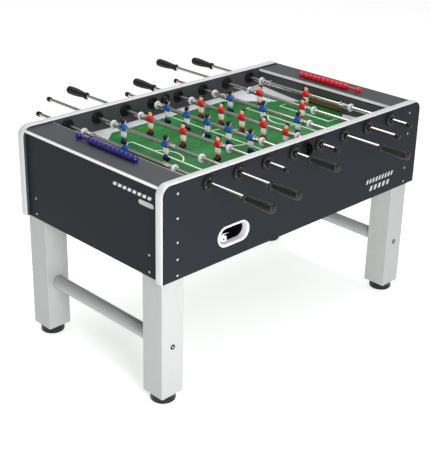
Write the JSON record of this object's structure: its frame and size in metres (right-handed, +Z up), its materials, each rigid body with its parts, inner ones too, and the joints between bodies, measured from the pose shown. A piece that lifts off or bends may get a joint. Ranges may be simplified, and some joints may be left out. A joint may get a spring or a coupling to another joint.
{
  "type": "foosball table",
  "caption": "Full-size foosball table: laminated cabinet on square legs, rods with players that slide and spin, end shelves with bead score counters, goals and ball-return cups.",
  "frame": {"origin": "on the floor, under the middle of the whole table with its rods and handles at rest", "axes": "+X along the pitch from the blue goal to the red goal, +Y along the rods from the front side panel (with the blue handles) to the rear one, +Z up"},
  "size_m": [1.405, 1.514, 0.8655],
  "materials": {
    "dark_laminate": "satin melamine laminate on board, dark slate grey",
    "shelf_laminate": "satin laminate with a fine grain, grey",
    "pitch": "printed and coated board, green, with white lines",
    "light_laminate": "satin laminate, light silver grey, with a fine upright grain",
    "return_plastic": "moulded plastic, white",
    "rod_steel": "polished chromed steel",
    "grip_rubber": "ribbed soft plastic grip, black",
    "blue_plastic": "moulded and painted plastic figure, blue team",
    "red_plastic": "moulded and painted plastic figure, red team",
    "blue_bead_plastic": "glossy moulded plastic, navy blue",
    "red_bead_plastic": "glossy moulded plastic, red",
    "foot_rubber": "moulded black plastic pad on a threaded stem",
    "ball_plastic": "hard white plastic with printed black spots",
    "edge_plastic": "white extruded edge moulding",
    "black_plastic": "moulded black plastic of the bushings and serve cups",
    "ramp_plastic": "pale grey plastic of the side strips and corner ramps",
    "small_steel": "zinc-plated springs, collars, screws and bars"
  },
  "bodies": {
    "table": {"front_side_panel": "dark_laminate", "rear_side_panel": "dark_laminate", "left_end_panel": "dark_laminate", "right_end_panel": "dark_laminate", "left_end_shelf": "shelf_laminate", "right_end_shelf": "shelf_laminate", "playfield": "pitch", "front_left_leg": "light_laminate", "front_right_leg": "light_laminate", "rear_left_leg": "light_laminate", "rear_right_leg": "light_laminate", "left_stretcher": "light_laminate", "right_stretcher": "light_laminate", "front_ball_return": "return_plastic", "rear_ball_return": "return_plastic"},
    "blue_goalie_shaft": {"blue_goalie_rod": "rod_steel"},
    "blue_goalie_figures": {"blue_goalie_player_1": "blue_plastic", "blue_goalie_handle": "grip_rubber"},
    "blue_defence_shaft": {"blue_defence_rod": "rod_steel"},
    "blue_defence_figures": {"blue_defence_player_1": "blue_plastic", "blue_defence_player_2": "blue_plastic", "blue_defence_handle": "grip_rubber"},
    "red_attack_shaft": {"red_attack_rod": "rod_steel"},
    "red_attack_figures": {"red_attack_player_1": "red_plastic", "red_attack_player_2": "red_plastic", "red_attack_player_3": "red_plastic", "red_attack_handle": "grip_rubber"},
    "blue_midfield_shaft": {"blue_midfield_rod": "rod_steel"},
    "blue_midfield_figures": {"blue_midfield_player_1": "blue_plastic", "blue_midfield_player_2": "blue_plastic", "blue_midfield_player_3": "blue_plastic", "blue_midfield_player_4": "blue_plastic", "blue_midfield_player_5": "blue_plastic", "blue_midfield_handle": "grip_rubber"},
    "red_midfield_shaft": {"red_midfield_rod": "rod_steel"},
    "red_midfield_figures": {"red_midfield_player_1": "red_plastic", "red_midfield_player_2": "red_plastic", "red_midfield_player_3": "red_plastic", "red_midfield_player_4": "red_plastic", "red_midfield_player_5": "red_plastic", "red_midfield_handle": "grip_rubber"},
    "blue_attack_shaft": {"blue_attack_rod": "rod_steel"},
    "blue_attack_figures": {"blue_attack_player_1": "blue_plastic", "blue_attack_player_2": "blue_plastic", "blue_attack_player_3": "blue_plastic", "blue_attack_handle": "grip_rubber"},
    "red_defence_shaft": {"red_defence_rod": "rod_steel"},
    "red_defence_figures": {"red_defence_player_1": "red_plastic", "red_defence_player_2": "red_plastic", "red_defence_handle": "grip_rubber"},
    "red_goalie_shaft": {"red_goalie_rod": "rod_steel"},
    "red_goalie_figures": {"red_goalie_player_1": "red_plastic", "red_goalie_handle": "grip_rubber"},
    "blue_counter": {"blue_score_beads": "blue_bead_plastic"},
    "red_counter": {"red_score_beads": "red_bead_plastic"},
    "front_left_leveller": {"front_left_foot": "foot_rubber"},
    "front_right_leveller": {"front_right_foot": "foot_rubber"},
    "rear_left_leveller": {"rear_left_foot": "foot_rubber"},
    "rear_right_leveller": {"rear_right_foot": "foot_rubber"},
    "game_ball": {"ball": "ball_plastic"}
  },
  "joints": [
    {"name": "blue_goalie_slide", "type": "slide", "parent": "table", "child": "blue_goalie_shaft", "axis": [0, 1, 0], "range_m": [-0.117, 0.069]},
    {"name": "blue_goalie_spin", "type": "hinge", "parent": "blue_goalie_shaft", "child": "blue_goalie_figures", "pos_m": [-0.497, -0.035, 0.812], "axis": [0, 1, 0], "continuous": true},
    {"name": "blue_defence_slide", "type": "slide", "parent": "table", "child": "blue_defence_shaft", "axis": [0, 1, 0], "range_m": [-0.2625, 0.0895]},
    {"name": "blue_defence_spin", "type": "hinge", "parent": "blue_defence_shaft", "child": "blue_defence_figures", "pos_m": [-0.355, 0.0275, 0.812], "axis": [0, 1, 0], "continuous": true},
    {"name": "red_attack_slide", "type": "slide", "parent": "table", "child": "red_attack_shaft", "axis": [0, 1, 0], "range_m": [-0.136, 0.082]},
    {"name": "red_attack_spin", "type": "hinge", "parent": "red_attack_shaft", "child": "red_attack_figures", "pos_m": [-0.213, -0.032, 0.812], "axis": [0, 1, 0], "continuous": true},
    {"name": "blue_midfield_slide", "type": "slide", "parent": "table", "child": "blue_midfield_shaft", "axis": [0, 1, 0], "range_m": [-0.108, 0.02]},
    {"name": "blue_midfield_spin", "type": "hinge", "parent": "blue_midfield_shaft", "child": "blue_midfield_figures", "pos_m": [-0.071, -0.015, 0.812], "axis": [0, 1, 0], "continuous": true},
    {"name": "red_midfield_slide", "type": "slide", "parent": "table", "child": "red_midfield_shaft", "axis": [0, 1, 0], "range_m": [-0.059, 0.069]},
    {"name": "red_midfield_spin", "type": "hinge", "parent": "red_midfield_shaft", "child": "red_midfield_figures", "pos_m": [0.071, -0.064, 0.812], "axis": [0, 1, 0], "continuous": true},
    {"name": "blue_attack_slide", "type": "slide", "parent": "table", "child": "blue_attack_shaft", "axis": [0, 1, 0], "range_m": [-0.124, 0.094]},
    {"name": "blue_attack_spin", "type": "hinge", "parent": "blue_attack_shaft", "child": "blue_attack_figures", "pos_m": [0.213, -0.044, 0.812], "axis": [0, 1, 0], "continuous": true},
    {"name": "red_defence_slide", "type": "slide", "parent": "table", "child": "red_defence_shaft", "axis": [0, 1, 0], "range_m": [-0.225, 0.127]},
    {"name": "red_defence_spin", "type": "hinge", "parent": "red_defence_shaft", "child": "red_defence_figures", "pos_m": [0.355, -0.01, 0.812], "axis": [0, 1, 0], "continuous": true},
    {"name": "red_goalie_slide", "type": "slide", "parent": "table", "child": "red_goalie_shaft", "axis": [0, 1, 0], "range_m": [-0.127, 0.059]},
    {"name": "red_goalie_spin", "type": "hinge", "parent": "red_goalie_shaft", "child": "red_goalie_figures", "pos_m": [0.497, -0.025, 0.812], "axis": [0, 1, 0], "continuous": true},
    {"name": "blue_score_slide", "type": "slide", "parent": "table", "child": "blue_counter", "axis": [0, 1, 0], "range_m": [0, 0.043]},
    {"name": "red_score_slide", "type": "slide", "parent": "table", "child": "red_counter", "axis": [0, -1, 0], "range_m": [0, 0.043]},
    {"name": "front_left_foot_screw", "type": "slide", "parent": "table", "child": "front_left_leveller", "axis": [0, 0, -1], "range_m": [0, 0.012]},
    {"name": "front_right_foot_screw", "type": "slide", "parent": "table", "child": "front_right_leveller", "axis": [0, 0, -1], "range_m": [0, 0.012]},
    {"name": "rear_left_foot_screw", "type": "slide", "parent": "table", "child": "rear_left_leveller", "axis": [0, 0, -1], "range_m": [0, 0.012]},
    {"name": "rear_right_foot_screw", "type": "slide", "parent": "table", "child": "rear_right_leveller", "axis": [0, 0, -1], "range_m": [0, 0.012]},
    {"name": "ball_roll", "type": "slide", "parent": "table", "child": "game_ball", "axis": [1, 0, 0], "range_m": [0, 0.07]}
  ]
}
